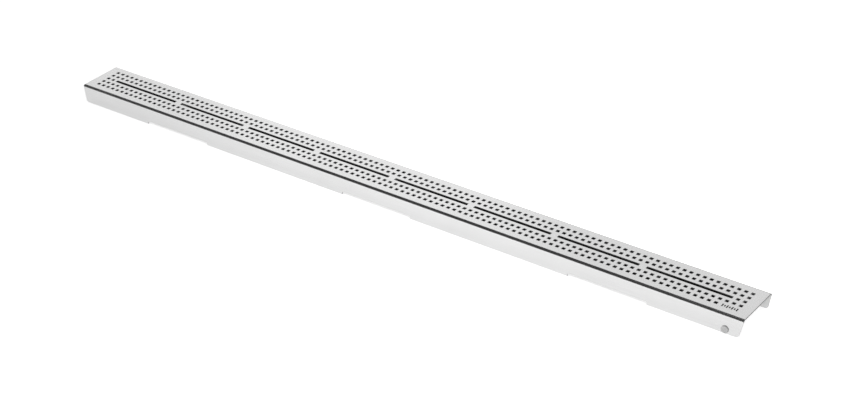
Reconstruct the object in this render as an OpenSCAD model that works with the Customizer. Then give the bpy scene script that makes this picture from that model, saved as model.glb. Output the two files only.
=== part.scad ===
// Design grate for a linear floor drain: one folded, perforated stainless sheet that drops into the
// frame of the channel, with stiffening bars welded under its plate and two rubber buffers.
// Millimetres. +X runs along the grate, +Y across it, +Z up. The origin is at the middle of the
// rectangle it stands on, so the feet rest on Z = 0.

/* [Overall] */
// Length of the grate
grate_l = 943; // [643:10:1443]
// Width of the grate over its two folds
grate_w = 61; // [50:0.5:90]
// Height of the walking surface over the feet
grate_h = 22.5; // [18:0.5:40]

/* [Folded sheet] */
// Thickness of the sheet
sheet_t = 1.5; // [1:0.1:2.5]
// Inside radius of the two folds
fold_r = 1.5; // [0.3:0.1:2]
// Angle by which each skirt leans outwards, so that it springs against the frame
skirt_splay = 5.5; // [1:0.5:8]
// How far the end of a skirt slants in from the plate's end down to the feet
end_rake = 4.3; // [1:0.1:10]
// Radius of the lower corners of a skirt
end_corner_r = 4; // [1:0.5:6]

/* [Feet and water reliefs] */
// Number of shallow reliefs along the lower edge of a skirt
relief_count = 3; // [2:1:4]
// Length of one relief
relief_l = 98; // [40:1:110]
// Height of one relief
relief_h = 3.5; // [1.5:0.1:6]
// Radius of the upper corners of a relief
relief_r = 1.2; // [0.5:0.1:1.5]
// Length of the foot between a skirt's end and the first relief
end_foot_l = 112.5; // [50:0.5:140]

/* [Square holes] */
// Side of a square hole
hole_w = 4; // [2:0.1:5]
// Spacing of the holes along the grate, before it is evened out over the length
wanted_pitch = 8.1; // [7:0.1:12]
// Distance from the plate's end to the centre of the first column of holes
end_margin = 15; // [8:0.5:25]
// Distance from the side of the grate to the centre of the outer row of holes
side_margin = 13.1; // [8:0.1:14]
// Number of columns left out of the front row, for the mark
blank_columns = 3; // [3:1:6]

/* [Slots] */
// Number of slots in the middle row
slot_count = 8; // [4:1:10]
// Width of a slot
slot_w = 4; // [2:0.1:6]
// Length of the land between two slots
land_l = 9; // [6:0.5:14]

/* [Engraved mark] */
// Number of plain bars
mark_bars = 7; // [3:1:7]
// Width of one bar
mark_bar_w = 1.5; // [0.4:0.1:1.8]
// Spacing of the bars
mark_spacing = 2.8; // [2:0.1:3]
// Length of a long bar
mark_bar_l = 5; // [2:0.1:5]
// Depth of the engraving
mark_depth = 0.2; // [0.1:0.05:0.4]

/* [Stiffening bars] */
// Thickness of a bar
brace_t = 1.5; // [1:0.1:2.5]
// Depth of a bar under the plate
brace_h = 10; // [6:0.5:12]
// Free space from the end of a bar to the start of the fold
brace_gap = 1.5; // [0.5:0.1:4]
// Chamfer on the lower corners of a bar
brace_chamfer = 3; // [1:0.5:5]

/* [Rubber buffers] */
// Diameter of the head outside the skirt
buffer_head_d = 8.6; // [7:0.1:12]
// Thickness of the head
buffer_head_t = 1.3; // [1:0.1:2]
// Radius of the head's rim
buffer_rim_r = 0.6; // [0.2:0.1:0.8]
// Diameter of the hole in the skirt
buffer_hole_d = 4.5; // [3:0.1:6]
// Clearance between the buffer's neck and its hole, on the radius
buffer_fit = 0.1; // [0.05:0.05:0.3]
// How far the barb reaches past the rim of the hole, on the radius
buffer_grip = 0.75; // [0.3:0.05:1]
// Length of the barb
buffer_barb_l = 3; // [2:0.1:4]
// Distance from the plate's end to the centre of a buffer
buffer_end = 20; // [14:0.5:30]
// Distance from the rim of the head to the lower edge of the skirt
buffer_edge = 0.6; // [0.3:0.1:3]

/* [Hidden] */
$fn = 96;

brace_count = slot_count - 1;
BRACES = [for (k = [1:brace_count]) str("cross_brace_", k)];

// A little more than nothing, so that a cut runs clear through
past = 1;

// Folds: each one turns about an axis along X
fold_outer_r = fold_r + sheet_t;
fold_y = grate_w / 2 - fold_outer_r;
fold_z = grate_h - fold_outer_r;
plate_under_z = grate_h - sheet_t;

// Columns of holes, evened out between the two end margins
column_count = round((grate_l - 2 * end_margin) / wanted_pitch) + 1;
hole_pitch = (grate_l - 2 * end_margin) / (column_count - 1);

// Five rows: two of holes, the middle row of slots, two of holes
row_count = 5;
slot_row = 2;
row_pitch = (grate_w - 2 * side_margin) / (row_count - 1);

// The middle row starts and ends with this many holes, and slots fill the run between them
slot_row_holes = 2;
slot_run_l = (column_count - 1 - 2 * slot_row_holes) * hole_pitch + hole_w;
slot_l = (slot_run_l - (slot_count - 1) * land_l) / slot_count;
slot_step = slot_l + land_l;

// Webs between two columns lie at whole pitches from the middle, or halfway if the count is odd
web_offset = column_count % 2 == 0 ? 0 : 0.5;

// Reliefs, evened out between the two end feet
relief_step = (grate_l - 2 * end_foot_l - relief_l) / (relief_count - 1);

// Lower corner of a skirt's end: the slant meets the base line at this angle inside the corner
rake_angle = atan(end_rake / fold_z);
corner_tangent = end_corner_r / tan((90 + rake_angle) / 2);

// Height of a buffer's centre over the lower edge, measured along the skirt
buffer_up = buffer_head_d / 2 + buffer_edge;
// The barb's tip is this share of the hole, so that it starts easily
buffer_tip_share = 0.7;

mark_short_share = 0.6;

function column_x(i) = (i - (column_count - 1) / 2) * hole_pitch;
function row_y(j) = (j - (row_count - 1) / 2) * row_pitch;
function web_x(x) = (round(x / hole_pitch - web_offset) + web_offset) * hole_pitch;

// The middle of land k, from 1 at the -X end
function land_x(k) = (k - slot_count / 2) * slot_step;

// Y of a skirt's face at height z, where the face is tangent to a fold of radius r
function skirt_y(r, z) =
    fold_y + r * cos(skirt_splay) + (fold_z + r * sin(skirt_splay) - z) * tan(skirt_splay);

// Solid cross-section under a folded skin whose folds have radius r, drawn as Y across and Z up
module fold_section(r, low_z) {
    tangent = [fold_y + r * cos(skirt_splay), fold_z + r * sin(skirt_splay)];
    polygon([
        [-skirt_y(r, low_z), low_z],
        [skirt_y(r, low_z), low_z],
        tangent,
        [fold_y, fold_z + r],
        [-fold_y, fold_z + r],
        [-tangent.x, tangent.y]
    ]);
    for (side = [-1, 1]) translate([side * fold_y, fold_z]) circle(r);
}

// The sheet bent into an upturned U, with plain ends
module folded_blank() {
    rotate([90, 0, 90]) linear_extrude(grate_l, center = true) difference() {
        fold_section(fold_outer_r, 0);
        fold_section(fold_r, -past);
    }
}

// One relief, drawn as X along and Z up from the base line
module relief_outline() {
    translate([-relief_l / 2, -past]) square([relief_l, relief_h - relief_r + past]);
    translate([relief_r - relief_l / 2, -past]) square([relief_l - 2 * relief_r, relief_h + past]);
    for (side = [-1, 1])
        translate([side * (relief_l / 2 - relief_r), relief_h - relief_r]) circle(relief_r);
}

// Side view of the whole grate: slanted ends, rounded lower corners and feet between the reliefs
module side_outline() {
    half_l = grate_l / 2;
    foot_x = half_l - end_rake - corner_tangent;
    slant_x = half_l - end_rake + corner_tangent * sin(rake_angle);
    slant_z = corner_tangent * cos(rake_angle);
    difference() {
        union() {
            polygon([
                [-foot_x, 0], [foot_x, 0], [slant_x, slant_z], [half_l, fold_z],
                [half_l, grate_h + past], [-half_l, grate_h + past],
                [-half_l, fold_z], [-slant_x, slant_z]
            ]);
            for (side = [-1, 1]) translate([side * foot_x, end_corner_r]) circle(end_corner_r);
        }
        for (k = [0:relief_count - 1])
            translate([(k - (relief_count - 1) / 2) * relief_step, 0]) relief_outline();
    }
}

// Plan of every square hole; the front row stops short of the mark
module hole_plan() {
    for (j = [0:row_count - 1], i = [0:column_count - 1]) {
        in_slot_run = j == slot_row && i >= slot_row_holes && i < column_count - slot_row_holes;
        in_blank = j == 0 && i >= column_count - blank_columns;
        if (!in_slot_run && !in_blank) translate([column_x(i), row_y(j)]) square(hole_w, center = true);
    }
}

module slot_plan() {
    for (k = [0:slot_count - 1])
        translate([(k - (slot_count - 1) / 2) * slot_step, 0]) square([slot_l, slot_w], center = true);
}

// Plain bars, long and short in turn, in the blank part of the front row
module mark_plan() {
    middle_x = column_x(column_count - 1 - (blank_columns - 1) / 2);
    for (k = [0:mark_bars - 1]) {
        bar_l = k % 2 == 0 ? mark_bar_l : mark_bar_l * mark_short_share;
        translate([middle_x + (k - (mark_bars - 1) / 2) * mark_spacing, row_y(0)])
            square([mark_bar_w, bar_l], center = true);
    }
}

// Puts its children on the outer face of the front skirt, facing out, near the +X end
module at_front_buffer() {
    translate([grate_l / 2 - buffer_end, -skirt_y(fold_outer_r, 0), 0])
        rotate([90 - skirt_splay, 0, 0]) translate([0, buffer_up, 0]) children();
}

// The same place on the back skirt at the -X end
module at_back_buffer() {
    rotate([0, 0, 180]) at_front_buffer() children();
}

module buffer_hole() {
    translate([0, 0, -sheet_t - past]) cylinder(d = buffer_hole_d, h = sheet_t + 2 * past);
}

module grate_sheet() {
    color("gainsboro") difference() {
        intersection() {
            folded_blank();
            rotate([90, 0, 0]) linear_extrude(2 * grate_w, center = true) side_outline();
        }
        translate([0, 0, plate_under_z - past]) linear_extrude(sheet_t + 2 * past) {
            hole_plan();
            slot_plan();
        }
        translate([0, 0, grate_h - mark_depth]) linear_extrude(mark_depth + past) mark_plan();
        at_front_buffer() buffer_hole();
        at_back_buffer() buffer_hole();
    }
}

// Flat bar on edge, welded under the plate below land k, in the web between two columns of holes
module cross_brace(k) {
    half_l = fold_y - brace_gap;
    low_z = plate_under_z - brace_h;
    color("silver") translate([web_x(land_x(k)), 0, 0]) rotate([90, 0, 90])
        linear_extrude(brace_t, center = true) polygon([
            [brace_chamfer - half_l, low_z], [half_l - brace_chamfer, low_z],
            [half_l, low_z + brace_chamfer], [half_l, plate_under_z],
            [-half_l, plate_under_z], [-half_l, low_z + brace_chamfer]
        ]);
}

// Push-in rubber buffer: its head lies on the skirt, its neck fills the hole, its barb holds inside
module buffer() {
    head_r = buffer_head_d / 2;
    hole_r = buffer_hole_d / 2;
    neck_r = hole_r - buffer_fit;
    tip_z = -sheet_t - buffer_barb_l;
    rim = [head_r - buffer_rim_r, buffer_head_t - buffer_rim_r];
    color("dimgray") {
        rotate_extrude() polygon([
            [0, buffer_head_t], [rim.x, buffer_head_t], [head_r, rim.y], [head_r, 0],
            [neck_r, 0], [neck_r, -sheet_t], [hole_r + buffer_grip, -sheet_t],
            [hole_r * buffer_tip_share, tip_z], [0, tip_z]
        ]);
        rotate_extrude() translate(rim) circle(buffer_rim_r);
    }
}

module buffer_front_right() {
    at_front_buffer() buffer();
}

module buffer_back_left() {
    at_back_buffer() buffer();
}

grate_sheet();
for (k = [1:brace_count]) cross_brace(k);
buffer_front_right();
buffer_back_left();
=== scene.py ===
"""Grate for a linear floor drain: one folded, perforated stainless sheet, stiffening bars, buffers."""
import math

import bmesh
import bpy
from mathutils import Matrix, Vector


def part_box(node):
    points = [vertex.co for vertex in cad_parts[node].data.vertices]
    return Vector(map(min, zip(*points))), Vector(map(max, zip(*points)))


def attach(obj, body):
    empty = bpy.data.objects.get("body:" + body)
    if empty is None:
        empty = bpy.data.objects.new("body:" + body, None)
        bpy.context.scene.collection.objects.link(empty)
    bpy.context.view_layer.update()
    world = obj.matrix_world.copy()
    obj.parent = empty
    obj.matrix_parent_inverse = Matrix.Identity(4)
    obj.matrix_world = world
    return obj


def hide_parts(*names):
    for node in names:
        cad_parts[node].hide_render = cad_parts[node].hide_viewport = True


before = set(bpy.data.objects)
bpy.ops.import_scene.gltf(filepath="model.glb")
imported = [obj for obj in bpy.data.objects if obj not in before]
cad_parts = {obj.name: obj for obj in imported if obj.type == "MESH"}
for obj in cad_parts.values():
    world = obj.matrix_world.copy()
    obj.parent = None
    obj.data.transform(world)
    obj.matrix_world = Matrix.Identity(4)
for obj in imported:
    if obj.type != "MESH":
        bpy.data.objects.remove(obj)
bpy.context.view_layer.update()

MM = 0.001

# ---------------------------------------------------------------- sizes of the grate

sheet_low, sheet_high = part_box("grate_sheet")
HALF_LENGTH = sheet_high.x
TOP_Z = sheet_high.z
SHEET = 1.5 * MM
FOLD_RADIUS = 3.0 * MM
FOLD_Y = 27.5 * MM
FOLD_Z = TOP_Z - FOLD_RADIUS
SPLAY = math.radians(5.5)
END_RAKE = 4.3 * MM
RAKE_ANGLE = math.atan(END_RAKE / FOLD_Z)
END_CORNER = 4.0 * MM
FOLD_STEPS = 12
# A narrow strip beside each fold keeps its shading off the flat faces
SUPPORT = 0.3 * MM
# Cuts nearer to each other than this are one cut, and points nearer than this are one point
SAME_LINE = 0.02 * MM
SAME_POINT = 1e-7

RELIEF_CENTRES = (-310 * MM, 0.0, 310 * MM)
RELIEF_HALF = 49 * MM
RELIEF_HEIGHT = 3.5 * MM
RELIEF_CORNER = 1.2 * MM

COLUMNS = 114
FIRST_TO_LAST = 913 * MM
PITCH = FIRST_TO_LAST / (COLUMNS - 1)
ROW_PITCH = 8.7 * MM
OUTER_ROW = 2
HOLE = 4.0 * MM
HOLE_CORNER = 0.12 * MM
BLANK_COLUMNS = 3
END_HOLES = 2
SLOTS = 8
LAND = 9.0 * MM
SLOT_RUN = (COLUMNS - 1 - 2 * END_HOLES) * PITCH + HOLE
SLOT_LENGTH = (SLOT_RUN - (SLOTS - 1) * LAND) / SLOTS
SLOT_STEP = SLOT_LENGTH + LAND

MARK_BARS = 7
MARK_SPACING = 2.8 * MM
MARK_WIDTH = 1.5 * MM
MARK_LONG = 5.0 * MM
MARK_SHORT = 3.0 * MM
MARK_DEPTH = 0.2 * MM
MARK_TAPER = 0.04 * MM

# The tumbled edge that a laser-cut part gets before it is handled
EDGE_BREAK = 0.12 * MM

BUFFER_HOLE = 2.25 * MM
BUFFER_UP = 4.9 * MM
BUFFER_PATCH = 3.4 * MM
# Half of a buffer's section from the middle of its head to its tip, in millimetres: radius, height
# over the skirt
BUFFER_SECTION = (
    (0.0, 0.72), (1.1, 0.78), (2.1, 0.96), (3.05, 1.3), (4.29, 1.3), (4.29, 0.0), (2.15, 0.0),
    (2.15, -1.5), (3.0, -1.5), (3.0, -1.95), (1.6, -4.5), (0.0, -4.5))
# Rings of the buffer that are rounded, in millimetres: radius, height, size of the rounding
BUFFER_ROUNDS = ((4.29, 1.3, 0.55), (3.05, 1.3, 0.3), (4.29, 0.0, 0.2), (3.0, -1.95, 0.2), (1.6, -4.5, 0.5))

BRACES = [f"cross_brace_{number}" for number in range(1, SLOTS)]
BRACE_CHAMFER = 3.0 * MM
WELD_LEG = 1.1 * MM
WELD_HALF = 3.0 * MM
WELD_RIPPLES = 5
WELD_RIPPLE_DEPTH = 0.14
# Distance of each pair of welds from the middle of a bar
WELD_PLACES = (-22.6 * MM, 0.0, 22.6 * MM)

# Kinds of face on the sheet, which are also its material slots
OUTER, INNER, RIM, MARK, SKIRT_RIM = range(5)


# ---------------------------------------------------------------- helpers for meshes

def cut(mesh, faces, point, normal, **clear):
    """Cuts the given faces along a plane."""
    geometry = set(faces)
    for face in faces:
        geometry.update(face.edges)
        geometry.update(face.verts)
    return bmesh.ops.bisect_plane(
        mesh, geom=list(geometry), dist=SAME_POINT, plane_co=point, plane_no=normal, **clear)


def bevel(mesh, edges, offset, segments):
    """Rounds or chamfers edges."""
    return bmesh.ops.bevel(
        mesh, geom=edges, offset=offset, offset_type="OFFSET", affect="EDGES",
        segments=segments, profile=0.5, material=-1, clamp_overlap=False)


def new_piece(name, mesh, materials, nodes, sharp_degrees=25):
    """Turns a bmesh into a finished piece that stands for CAD nodes on the one rigid body."""
    data = bpy.data.meshes.new(name)
    for face in mesh.faces:
        face.smooth = True
    mesh.to_mesh(data)
    mesh.free()
    data.set_sharp_from_angle(angle=math.radians(sharp_degrees))
    for material in materials:
        data.materials.append(material)
    piece = bpy.data.objects.new(name, data)
    bpy.context.scene.collection.objects.link(piece)
    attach(piece, "root")
    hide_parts(*nodes)
    return piece


# ---------------------------------------------------------------- folded sheet

def column_x(column):
    return (column - (COLUMNS - 1) / 2) * PITCH


def slot_start(index):
    return index * SLOT_STEP - SLOT_RUN / 2


def is_open(x, y):
    """Whether a point of the plate lies in a square hole or a slot."""
    row = round(y / ROW_PITCH)
    if abs(row) > OUTER_ROW or abs(y - row * ROW_PITCH) > HOLE / 2:
        return False
    if row == 0 and abs(x) < SLOT_RUN / 2:
        return (x + SLOT_RUN / 2) % SLOT_STEP < SLOT_LENGTH
    column = round(x / PITCH + (COLUMNS - 1) / 2)
    if row == -OUTER_ROW and column >= COLUMNS - BLANK_COLUMNS:
        return False
    return 0 <= column < COLUMNS and abs(x - column_x(column)) < HOLE / 2


def plate_cuts():
    """X of every line across the plate: sides of holes, ends of slots, ends of reliefs."""
    lines = [column_x(i) + side * HOLE / 2 for i in range(COLUMNS) for side in (-1, 1)]
    for index in range(SLOTS):
        lines += [slot_start(index), slot_start(index) + SLOT_LENGTH]
    lines += [centre + side * RELIEF_HALF for centre in RELIEF_CENTRES for side in (-1, 1)]
    lines.sort()
    # Sides that fall on the same line are cut once
    return [x for x, before in zip(lines, [-HALF_LENGTH] + lines) if x - before > SAME_LINE]


def cut_plate(mesh):
    """One flat strip, cut into cells along and across, without the cells that are open."""
    size = Matrix.Diagonal((HALF_LENGTH, FOLD_Y, 1, 1))
    place = Matrix.Translation((0, 0, TOP_Z))
    bmesh.ops.create_grid(mesh, x_segments=1, y_segments=1, size=1.0, matrix=place @ size)
    for x in plate_cuts():
        cut(mesh, mesh.faces[:], (x, 0, 0), (1, 0, 0))
    rows = range(-OUTER_ROW, OUTER_ROW + 1)
    lines = [row * ROW_PITCH + side * HOLE / 2 for row in rows for side in (-1, 1)]
    lines += [SUPPORT - FOLD_Y, FOLD_Y - SUPPORT]
    for y in lines:
        cut(mesh, mesh.faces[:], (0, y, 0), (0, 1, 0))
    open_cells = [f for f in mesh.faces if is_open(*f.calc_center_median().xy)]
    bmesh.ops.delete(mesh, geom=open_cells, context="FACES")


def mark_bars():
    """Centre X and length of every plain bar of the mark."""
    middle = column_x(COLUMNS - 1 - (BLANK_COLUMNS - 1) / 2)
    bars = []
    for index in range(MARK_BARS):
        x = middle + (index - (MARK_BARS - 1) / 2) * MARK_SPACING
        bars.append((x, MARK_LONG if index % 2 == 0 else MARK_SHORT))
    return bars


def cut_mark(mesh):
    """Outlines the bars of the mark in the blank end of the front row."""
    low_x = column_x(COLUMNS - BLANK_COLUMNS) - HOLE / 2
    high_x = column_x(COLUMNS - 1) + HOLE / 2
    row_y = -OUTER_ROW * ROW_PITCH
    half_patch = MARK_LONG / 2 + SUPPORT

    def blank_faces(reach=half_patch):
        found = []
        for face in mesh.faces:
            centre = face.calc_center_median()
            if low_x < centre.x < high_x and abs(centre.y - row_y) < reach:
                found.append(face)
        return found

    for side in (-1, 1):
        cut(mesh, blank_faces(ROW_PITCH - HOLE / 2), (0, row_y + side * half_patch, 0), (0, 1, 0))
    bmesh.ops.dissolve_faces(mesh, faces=blank_faces())
    for x, _ in mark_bars():
        for side in (-1, 1):
            cut(mesh, blank_faces(), (x + side * MARK_WIDTH / 2, 0, 0), (1, 0, 0))
    for x, length in mark_bars():
        for side in (-1, 1):
            own = [f for f in blank_faces() if abs(f.calc_center_median().x - x) < MARK_WIDTH / 2]
            cut(mesh, own, (0, row_y + side * length / 2, 0), (0, 1, 0))


def fold_skirts(mesh):
    """Turns the long edges down over the folds and runs them out as leaning skirts."""
    for side in (-1, 1):
        edges = [e for e in mesh.edges if all(abs(v.co.y - side * FOLD_Y) < SAME_POINT for v in e.verts)]
        made = bmesh.ops.spin(
            mesh, geom=edges, cent=(0, side * FOLD_Y, FOLD_Z), axis=(1, 0, 0), dvec=(0, 0, 0),
            angle=-side * (math.pi / 2 - SPLAY), steps=FOLD_STEPS)
        edges = [item for item in made["geom_last"] if isinstance(item, bmesh.types.BMEdge)]
        down = Vector((0, side * math.sin(SPLAY), -math.cos(SPLAY)))
        for length in (SUPPORT, FOLD_Z):
            made = bmesh.ops.extrude_edge_only(mesh, edges=edges)
            verts = [item for item in made["geom"] if isinstance(item, bmesh.types.BMVert)]
            edges = [item for item in made["geom"] if isinstance(item, bmesh.types.BMEdge)]
            bmesh.ops.translate(mesh, verts=verts, vec=down * length)


def skirt_faces(mesh, low_x, high_x):
    """Faces of both skirts, clear of the folds, between two places along the grate."""
    found = []
    for face in mesh.faces:
        centre = face.calc_center_median()
        if low_x < centre.x < high_x and centre.z < FOLD_Z - SUPPORT:
            found.append(face)
    return found


def trim_skirts(mesh):
    """Cuts the skirts to their feet, slants their ends and opens the reliefs."""
    # The thickness is put on square to the skin, so the skin ends this much above the feet
    foot_z = SHEET * math.sin(SPLAY)
    cut(mesh, mesh.faces[:], (0, 0, foot_z), (0, 0, 1), clear_inner=True)
    for side in (-1, 1):
        outward = (side * math.cos(RAKE_ANGLE), 0, -math.sin(RAKE_ANGLE))
        cut(mesh, mesh.faces[:], (side * HALF_LENGTH, 0, FOLD_Z), outward, clear_outer=True)
    top = RELIEF_HEIGHT + foot_z / 2
    for centre in RELIEF_CENTRES:
        span = (centre - RELIEF_HALF, centre + RELIEF_HALF)
        cut(mesh, skirt_faces(mesh, *span), (0, 0, top), (0, 0, 1))
        below = [f for f in skirt_faces(mesh, *span) if f.calc_center_median().z < top]
        bmesh.ops.delete(mesh, geom=below, context="FACES")


def skirt_place(node):
    """Matrix of a buffer's seat: origin on the outer face of the skirt, Z out of it, Y up it."""
    low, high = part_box(node)
    side = 1 if low.y > 0 else -1
    drop = FOLD_Z + FOLD_RADIUS * math.sin(SPLAY)
    foot_y = FOLD_Y + FOLD_RADIUS * math.cos(SPLAY) + drop * math.tan(SPLAY)
    up = Vector((0, -side * math.sin(SPLAY), math.cos(SPLAY)))
    out = Vector((0, side * math.cos(SPLAY), math.sin(SPLAY)))
    origin = Vector(((low.x + high.x) / 2, side * foot_y, 0)) + up * BUFFER_UP
    axes = Matrix((up.cross(out), up, out)).transposed().to_4x4()
    return Matrix.Translation(origin) @ axes


def open_buffer_holes(mesh):
    """Makes the round hole for each buffer in the middle of a patch of the skirt."""
    for node in ("buffer_front_right", "buffer_back_left"):
        place = skirt_place(node)
        origin = place.translation
        up = place.col[1].xyz
        low_x = origin.x - PITCH / 2 - HOLE / 2
        high_x = origin.x + PITCH / 2 + HOLE / 2

        def patch():
            faces = skirt_faces(mesh, low_x, high_x)
            return [f for f in faces if f.calc_center_median().y * origin.y > 0]

        for side in (-1, 1):
            cut(mesh, patch(), origin + up * side * BUFFER_PATCH, up)
        inside = [f for f in patch() if abs((f.calc_center_median() - origin).dot(up)) < BUFFER_PATCH]
        edges = {e for f in inside for e in f.edges}
        border = [e for e in edges if sum(f in inside for f in e.link_faces) == 1]
        bmesh.ops.delete(mesh, geom=inside, context="FACES")
        ring = bmesh.ops.create_circle(mesh, cap_ends=False, segments=24, radius=BUFFER_HOLE, matrix=place)
        ring_edges = {e for v in ring["verts"] for e in v.link_edges}
        bmesh.ops.bridge_loops(mesh, edges=border + list(ring_edges))


def skin_depth(point):
    """Depth under the outer skin of a point on the folded sheet, and the skin's normal there."""
    side = 1 if point.y > 0 else -1
    y, z = abs(point.y) - FOLD_Y, point.z - FOLD_Z
    if y <= 0:
        return FOLD_RADIUS - z, Vector((0, 0, 1))
    if z > y * math.tan(SPLAY):
        return FOLD_RADIUS - math.hypot(y, z), Vector((0, side * y, z)).normalized()
    out = y * math.cos(SPLAY) + z * math.sin(SPLAY)
    return FOLD_RADIUS - out, Vector((0, side * math.cos(SPLAY), math.sin(SPLAY)))


def kind_of(face):
    """Outer skin, inner skin, or the cut rim between them."""
    depth, normal = skin_depth(face.calc_center_median())
    along = face.normal.dot(normal)
    if along > 0.9 and depth < SHEET / 2:
        return OUTER
    if along < -0.9 and depth > SHEET / 2:
        return INNER
    return RIM


def round_corners(mesh):
    """Rounds the corners that run through the thickness: of feet, reliefs and square holes."""
    mesh.normal_update()
    feet, reliefs, holes = [], [], []
    for edge in mesh.edges:
        if edge.calc_face_angle(0.0) < math.radians(50):
            continue
        if any(kind_of(f) != RIM for f in edge.link_faces):
            continue
        middle = (edge.verts[0].co + edge.verts[1].co) / 2
        if middle.z > TOP_Z - SHEET:
            holes.append(edge)
        elif abs(middle.z - RELIEF_HEIGHT) < 1 * MM:
            reliefs.append(edge)
        elif abs(middle.x) > HALF_LENGTH - 2 * END_RAKE:
            feet.append(edge)
    bevel(mesh, feet, END_CORNER / math.tan((math.pi / 2 + RAKE_ANGLE) / 2), 6)
    bevel(mesh, reliefs, RELIEF_CORNER, 4)
    bevel(mesh, holes, HOLE_CORNER, 2)


def break_edges(mesh):
    """Takes the sharp edge off wherever a cut rim meets the skin."""
    mesh.normal_update()
    kinds = {face: kind_of(face) for face in mesh.faces}
    edges = [e for e in mesh.edges if sum(kinds[f] == RIM for f in e.link_faces) == 1]
    bevel(mesh, edges, EDGE_BREAK, 1)


def engrave_mark(mesh):
    """Sinks the bars of the mark. Returns their faces."""
    mesh.normal_update()
    row_y = -OUTER_ROW * ROW_PITCH
    faces = []
    for face in mesh.faces:
        centre = face.calc_center_median()
        if kind_of(face) != OUTER or centre.z < TOP_Z - SHEET / 2:
            continue
        for x, length in mark_bars():
            if abs(centre.x - x) < MARK_WIDTH / 4 and abs(centre.y - row_y) < length / 4:
                faces.append(face)
    sunk = bmesh.ops.inset_individual(mesh, faces=faces, thickness=MARK_TAPER, depth=-MARK_DEPTH)
    return set(faces) | set(sunk["faces"])


def make_sheet(materials):
    mesh = bmesh.new()
    cut_plate(mesh)
    cut_mark(mesh)
    fold_skirts(mesh)
    trim_skirts(mesh)
    open_buffer_holes(mesh)
    bmesh.ops.remove_doubles(mesh, verts=mesh.verts[:], dist=SAME_POINT)
    bmesh.ops.recalc_face_normals(mesh, faces=mesh.faces[:])
    bmesh.ops.solidify(mesh, geom=mesh.faces[:], thickness=SHEET)
    round_corners(mesh)
    break_edges(mesh)
    marked = engrave_mark(mesh)
    mesh.normal_update()
    for face in mesh.faces:
        kind = MARK if face in marked else kind_of(face)
        on_skirt = face.calc_center_median().z < FOLD_Z
        face.material_index = SKIRT_RIM if kind == RIM and on_skirt else kind
    return new_piece("folded_grate_sheet", mesh, materials, ["grate_sheet"])


# ---------------------------------------------------------------- stiffening bars

def add_weld(mesh, corner, side):
    """One short rippled fillet in the corner between a bar and the plate. Returns its faces."""
    place = Matrix.Translation(corner) @ Matrix.Rotation(math.pi / 2, 4, "X")
    made = bmesh.ops.create_uvsphere(mesh, u_segments=16, v_segments=20, radius=1.0, matrix=place)
    for vert in made["verts"]:
        offset = vert.co - corner
        ripple = 1 - WELD_RIPPLE_DEPTH * abs(math.sin(WELD_RIPPLES * math.pi * offset.y / 2))
        offset.x *= WELD_LEG * ripple
        offset.z *= WELD_LEG * ripple
        offset.y *= WELD_HALF
        vert.co = corner + offset
    faces = {face for vert in made["verts"] for face in vert.link_faces}
    for normal in ((0, 0, 1), (-side, 0, 0)):
        made = cut(mesh, list(faces), corner, normal, clear_outer=True)
        faces = {item for item in made["geom"] if isinstance(item, bmesh.types.BMFace)}
        border = [item for item in made["geom_cut"] if isinstance(item, bmesh.types.BMEdge)]
        faces |= set(bmesh.ops.edgeloop_fill(mesh, edges=border)["faces"])
    return faces


def make_brace(node, materials):
    low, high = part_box(node)
    mesh = bmesh.new()
    place = Matrix.Translation((low + high) / 2) @ Matrix.Diagonal((*(high - low), 1))
    bmesh.ops.create_cube(mesh, size=1.0, matrix=place)

    def at(height, edge):
        return all(abs(vert.co.z - height) < 1e-6 for vert in edge.verts)

    along_x = [e for e in mesh.edges if at(low.z, e) and abs(e.verts[0].co.y - e.verts[1].co.y) < 1e-6]
    bevel(mesh, along_x, BRACE_CHAMFER, 1)
    bevel(mesh, [e for e in mesh.edges if not at(high.z, e)], EDGE_BREAK, 1)
    mesh.normal_update()
    for face in mesh.faces:
        face.material_index = 0 if abs(face.normal.x) > 0.9 else 1
    for y in WELD_PLACES:
        for side in (-1, 1):
            face_x = high.x if side > 0 else low.x
            for face in add_weld(mesh, Vector((face_x, y, high.z)), side):
                face.material_index = 2
    bmesh.ops.recalc_face_normals(mesh, faces=mesh.faces[:])
    return new_piece("welded_" + node, mesh, materials, [node], 50)


# ---------------------------------------------------------------- rubber buffers

def make_buffer(node, materials):
    """A moulded head with a dished face, a neck through the skirt and a barb behind it."""
    mesh = bmesh.new()
    verts = [mesh.verts.new((radius * MM, 0, height * MM)) for radius, height in BUFFER_SECTION]
    edges = [mesh.edges.new(pair) for pair in zip(verts, verts[1:])]
    bmesh.ops.spin(
        mesh, geom=verts + edges, cent=(0, 0, 0), axis=(0, 0, 1), dvec=(0, 0, 0),
        angle=2 * math.pi, steps=48, use_merge=True)
    bmesh.ops.remove_doubles(mesh, verts=mesh.verts[:], dist=1e-6)
    for radius, height, size in BUFFER_ROUNDS:
        ring = []
        for edge in mesh.edges:
            ends = [(math.hypot(v.co.x, v.co.y) / MM, v.co.z / MM) for v in edge.verts]
            if all(abs(r - radius) < 0.01 and abs(z - height) < 0.01 for r, z in ends):
                ring.append(edge)
        bevel(mesh, ring, size * MM, 4)
    bmesh.ops.recalc_face_normals(mesh, faces=mesh.faces[:])
    bmesh.ops.transform(mesh, matrix=skirt_place(node), verts=mesh.verts[:])
    return new_piece("moulded_" + node, mesh, materials, [node], 40)


# ---------------------------------------------------------------- materials

# Nearly all of a noise lies between these two, so a tone or a roughness is spread over them
NOISE_LOW = 0.3
NOISE_HIGH = 0.7


def colour(hex_code):
    """Linear RGBA for an sRGB hex value such as "c8c8c6"."""
    channels = [int(hex_code[i:i + 2], 16) / 255 for i in (0, 2, 4)]
    linear = [c / 12.92 if c <= 0.04045 else ((c + 0.055) / 1.055) ** 2.4 for c in channels]
    return (*linear, 1.0)


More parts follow.
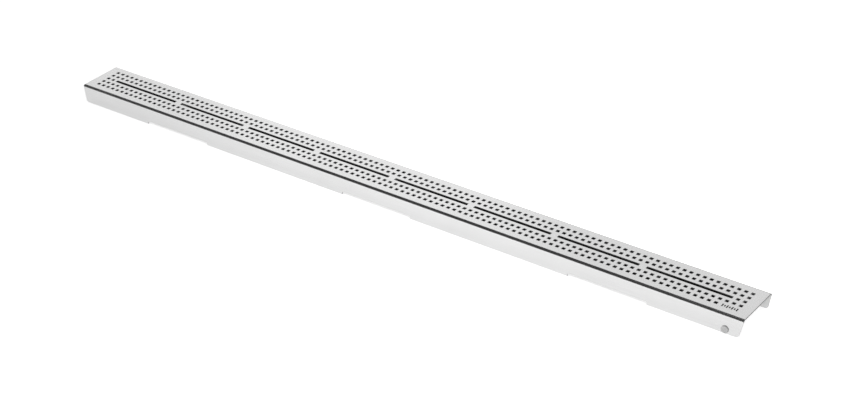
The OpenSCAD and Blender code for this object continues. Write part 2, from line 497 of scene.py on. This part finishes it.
def add_node(tree, kind, settings=None, values=None, links=None):
    """Adds a node, with its settings, the values of its sockets and what its sockets are linked to."""
    node = tree.nodes.new(kind)
    for name, value in (settings or {}).items():
        setattr(node, name, value)
    for name, value in (values or {}).items():
        node.inputs[name].default_value = value
    for name, source in (links or {}).items():
        tree.links.new(source, node.inputs[name])
    return node


def new_material(name):
    """An empty node material. Returns it with its tree and its output node."""
    material = bpy.data.materials.new(name)
    material.use_nodes = True
    tree = material.node_tree
    tree.nodes.clear()
    return material, tree, add_node(tree, "ShaderNodeOutputMaterial")


def metal(name, dark, light, smooth, rough, feature, bump, cloud):
    """Bare steel whose tone, roughness and relief follow one stretched noise.

    feature is the size in millimetres of a streak or grain along X, Y and Z.
    cloud is the size in millimetres of the slow change that lies over it.
    """
    material, tree, output = new_material(name)
    place = add_node(tree, "ShaderNodeTexCoord").outputs["Object"]
    scale = tuple(1 / (size * MM) for size in feature)
    mapping = add_node(tree, "ShaderNodeMapping", values={"Scale": scale}, links={"Vector": place})
    grain = add_node(
        tree, "ShaderNodeTexNoise",
        values={"Scale": 1.0, "Detail": 3.0, "Roughness": 0.6},
        links={"Vector": mapping.outputs["Vector"]})
    slow = add_node(
        tree, "ShaderNodeTexNoise",
        values={"Scale": 1 / (cloud * MM), "Detail": 2.0, "Roughness": 0.5},
        links={"Vector": place})
    both = add_node(
        tree, "ShaderNodeMix", {"data_type": "FLOAT"}, {0: 0.35},
        {2: grain.outputs[0], 3: slow.outputs[0]})
    tone = add_node(tree, "ShaderNodeValToRGB", links={0: both.outputs[0]})
    tone.color_ramp.elements[0].position = NOISE_LOW
    tone.color_ramp.elements[0].color = colour(dark)
    tone.color_ramp.elements[1].position = NOISE_HIGH
    tone.color_ramp.elements[1].color = colour(light)
    polish = add_node(
        tree, "ShaderNodeMapRange",
        values={"From Min": NOISE_LOW, "From Max": NOISE_HIGH, "To Min": smooth, "To Max": rough},
        links={"Value": both.outputs[0]})
    relief = add_node(
        tree, "ShaderNodeBump", values={"Strength": 1.0, "Distance": bump * MM},
        links={"Height": grain.outputs[0]})
    shader = add_node(
        tree, "ShaderNodeBsdfPrincipled", values={"Metallic": 1.0},
        links={
            "Base Color": tone.outputs["Color"], "Roughness": polish.outputs["Result"],
            "Normal": relief.outputs["Normal"]})
    tree.links.new(shader.outputs[0], output.inputs["Surface"])
    return material


def rubber(name, dark, light):
    """Moulded rubber: matt, with a fine speckle of filler and a slightly uneven skin."""
    material, tree, output = new_material(name)
    place = add_node(tree, "ShaderNodeTexCoord").outputs["Object"]
    speckle = add_node(
        tree, "ShaderNodeTexNoise",
        values={"Scale": 1 / (0.35 * MM), "Detail": 3.0, "Roughness": 0.6}, links={"Vector": place})
    tone = add_node(tree, "ShaderNodeValToRGB", links={0: speckle.outputs[0]})
    tone.color_ramp.elements[0].position = NOISE_LOW
    tone.color_ramp.elements[0].color = colour(dark)
    tone.color_ramp.elements[1].position = NOISE_HIGH
    tone.color_ramp.elements[1].color = colour(light)
    relief = add_node(
        tree, "ShaderNodeBump", values={"Strength": 1.0, "Distance": 0.02 * MM},
        links={"Height": speckle.outputs[0]})
    shader = add_node(
        tree, "ShaderNodeBsdfPrincipled", values={"Roughness": 0.62, "IOR": 1.5},
        links={"Base Color": tone.outputs["Color"], "Normal": relief.outputs["Normal"]})
    tree.links.new(shader.outputs[0], output.inputs["Surface"])
    return material


def stage_material(name, tone, glow, glow_below):
    """Matt card or sweep, clear from behind. A view that has come through it sees it glow by glow_below."""
    material, tree, output = new_material(name)
    path = add_node(tree, "ShaderNodeLightPath")
    strength = add_node(
        tree, "ShaderNodeMapRange", values={"To Min": glow, "To Max": glow_below},
        links={"Value": path.outputs["Transparent Depth"]})
    matt = add_node(
        tree, "ShaderNodeBsdfPrincipled",
        values={
            "Base Color": colour(tone), "Roughness": 1.0, "Specular IOR Level": 0.0,
            "Emission Color": (1, 1, 1, 1)},
        links={"Emission Strength": strength.outputs["Result"]})
    clear = add_node(tree, "ShaderNodeBsdfTransparent")
    side = add_node(tree, "ShaderNodeNewGeometry")
    mixed = add_node(
        tree, "ShaderNodeMixShader",
        links={0: side.outputs["Backfacing"], 1: matt.outputs[0], 2: clear.outputs[0]})
    tree.links.new(mixed.outputs[0], output.inputs["Surface"])
    return material


# Stainless sheet, ground along its length and left satin: streaks 0.1 mm wide, drawn 0.5 mm wide to show
satin_ground = metal(
    "satin_ground_stainless", "cacaca", "d3d3d3", 0.17, 0.23, (40, 0.5, 0.5), 0.002, 60)
# The other side of the sheet as it left the mill: greyer, cloudy and without a direction
mill_finish = metal(
    "mill_finish_2b_stainless", "c4c4c4", "d0d0d0", 0.26, 0.36, (6, 6, 6), 0.002, 25)
# Edge cut by a laser: darker, with fine striations through the thickness
laser_cut = metal(
    "laser_cut_stainless_edge", "5e5e5e", "848484", 0.34, 0.5, (0.4, 0.4, 4), 0.02, 8)
# Cut edge of the skirts, brushed after folding: paler than the plate's, as on the feet and the ends
brushed_edge = metal(
    "brushed_stainless_edge", "b4b4b4", "c8c8c8", 0.34, 0.5, (0.4, 0.4, 4), 0.02, 8)
# Plain bars etched into the skin: dark and matt, with the grit of the etch
etched = metal(
    "etched_stainless", "141414", "202020", 0.45, 0.6, (0.3, 0.3, 0.3), 0.01, 3)
# Weld metal brushed clean: bright ripples with a trace of straw colour
weld_metal = metal(
    "brushed_weld_bead", "a89f90", "c4bfb4", 0.24, 0.38, (0.5, 0.5, 0.5), 0.02, 3)
# Grey rubber from a mould: matt, without a shine
grey_rubber = rubber("moulded_grey_rubber", "b8b8b8", "c0c0c0")

make_sheet([satin_ground, mill_finish, laser_cut, etched, brushed_edge])
for brace in BRACES:
    make_brace(brace, [mill_finish, laser_cut, weld_metal])
for buffer_node in ("buffer_front_right", "buffer_back_left"):
    make_buffer(buffer_node, [grey_rubber])


# ---------------------------------------------------------------- stage, light and camera

# The floor just under the feet, and a black card on it that paints the shade inside the grate, which shows
# through the holes and the slots
SWEEP_HALF = 30.0
SWEEP_DROP = 0.1 * MM
CARD_CENTRE = (-8.2 * MM, 1.9 * MM, 0.0)
CARD_HALF = (458.2 * MM, 28.9 * MM)
# A second black card of painted shade stands just inside the left end, leaning in at its foot as the ends
# of the skirts do
END_CARD_CENTRE = (-466.5 * MM, 0.0, 10.4 * MM)
END_CARD_HALF = (10.5 * MM, 30.3 * MM)
END_CARD_TURN = math.radians(71.5)
# Radius of the ring of softboxes far out, the height of their middles, and their own height
RING = 5.0
RING_UP = 2.0
RING_HEIGHT = 2.4


def add_flat(name, place, half_x, half_y, material):
    """A flat rectangle of the stage, whose front is the +Z side of its place."""
    mesh = bmesh.new()
    size = Matrix.Diagonal((half_x, half_y, 1, 1))
    bmesh.ops.create_grid(mesh, x_segments=1, y_segments=1, size=1.0, matrix=place @ size)
    data = bpy.data.meshes.new(name)
    mesh.to_mesh(data)
    mesh.free()
    data.materials.append(material)
    flat = bpy.data.objects.new(name, data)
    bpy.context.scene.collection.objects.link(flat)


def add_softbox(name, place, width, height, radiance, roll_degrees=0):
    """A rectangular softbox aimed at the grate, which shows in reflections only."""
    lamp = bpy.data.lights.new(name, "AREA")
    lamp.shape = "RECTANGLE"
    lamp.size = width
    lamp.size_y = height
    lamp.energy = math.pi * width * height * radiance
    box = bpy.data.objects.new(name, lamp)
    turn = (-Vector(place)).to_track_quat("-Z", "Y").to_matrix().to_4x4()
    roll = Matrix.Rotation(math.radians(roll_degrees), 4, "Z")
    box.matrix_world = Matrix.Translation(place) @ turn @ roll
    box.visible_camera = False
    bpy.context.scene.collection.objects.link(box)
    return box


def add_ring_softbox(name, azimuth, width, radiance):
    """A softbox far out in the ring round the grate, at an azimuth in degrees from +X."""
    turn = math.radians(azimuth)
    place = (RING * math.cos(turn), RING * math.sin(turn), RING_UP)
    add_softbox(name, place, width, RING_HEIGHT, radiance)


def make_world(seen, unseen):
    """Pale studio behind the sweep, and a dim one in reflections."""
    world = bpy.data.worlds.new("studio")
    world.use_nodes = True
    tree = world.node_tree
    tree.nodes.clear()
    output = add_node(tree, "ShaderNodeOutputWorld")
    path = add_node(tree, "ShaderNodeLightPath")
    dim = add_node(tree, "ShaderNodeBackground", values={"Color": (1, 1, 1, 1), "Strength": unseen})
    pale = add_node(tree, "ShaderNodeBackground", values={"Color": (1, 1, 1, 1), "Strength": seen})
    mixed = add_node(
        tree, "ShaderNodeMixShader",
        links={0: path.outputs["Is Camera Ray"], 1: dim.outputs[0], 2: pale.outputs[0]})
    tree.links.new(mixed.outputs[0], output.inputs["Surface"])
    bpy.context.scene.world = world


def add_camera(place, aim, roll_degrees, lens):
    data = bpy.data.cameras.new("camera")
    data.lens = lens
    data.sensor_width = 36
    camera = bpy.data.objects.new("camera", data)
    turn = (Vector(aim) - Vector(place)).to_track_quat("-Z", "Y")
    camera.matrix_world = (
        Matrix.Translation(place) @ turn.to_matrix().to_4x4()
        @ Matrix.Rotation(math.radians(roll_degrees), 4, "Z"))
    bpy.context.scene.collection.objects.link(camera)
    bpy.context.scene.camera = camera


white_sweep = stage_material("matt_white_sweep", "ececec", glow=0.73, glow_below=0.82)
# Black card of painted shade for the inside of the grate; a view that has come through the sweep sees it
# glow
painted_shade_card = stage_material("matt_black_painted_shade", "0c0c0c", glow=0.0, glow_below=0.7)
add_flat("sweep", Matrix.Translation((0, 0, -SWEEP_DROP)), SWEEP_HALF, SWEEP_HALF, white_sweep)
# Painted shade: a black card on the floor under the grate
add_flat("painted_shade_under_grate", Matrix.Translation(CARD_CENTRE), *CARD_HALF, painted_shade_card)
# Painted shade: a black card just inside the left end of the grate
end_place = Matrix.Translation(END_CARD_CENTRE) @ Matrix.Rotation(END_CARD_TURN, 4, "Y")
add_flat("painted_shade_left_end", end_place, *END_CARD_HALF, painted_shade_card)

# Softboxes near the grate, then the ring, which is left open at the front left, then the ones overhead
add_softbox("key", (-0.89, 1.37, 1.0), 2.2, 0.8, 1.06, -21.0)
add_softbox("key_core", (-1.15, 1.38, 1.04), 0.75, 0.8, 0.17, -21.0)
add_softbox("back_low", (-1.9, 2.7, 0.5), 3.6, 0.9, 1.0)
add_ring_softbox("ring_left", 190, 2.9, 0.9)
add_ring_softbox("ring_front", 279, 3.1, 0.9)
add_ring_softbox("ring_front_right", 318, 3.9, 0.9)
add_ring_softbox("ring_right", 2, 4.1, 0.9)
add_ring_softbox("ring_back", 56, 5.5, 0.9)
add_softbox("overhead", (0.001, 0.0, 4.2), 1.9, 1.1, 0.9)
add_softbox("front_high", (0.9, -3.3, 4.1), 3.0, 1.6, 0.8)
add_softbox("back_high", (0.7, 3.3, 4.3), 3.0, 1.6, 0.8)
# Shines straight down on the floor in front, which the front skirt mirrors
floor_light = add_softbox("floor_light", (0.18, -0.2, 0.32), 1.0, 0.3, 1.15)
floor_light.rotation_euler = (0.0, 0.0, 0.0)
floor_light.visible_glossy = False
make_world(seen=1.0, unseen=0.06)
bpy.context.scene.view_settings.view_transform = "Standard"
add_camera(
    place=(1.1696, -1.4491, 1.1173), aim=(0.0775, -0.0338, 0.0225), roll_degrees=-2.251, lens=78.71)
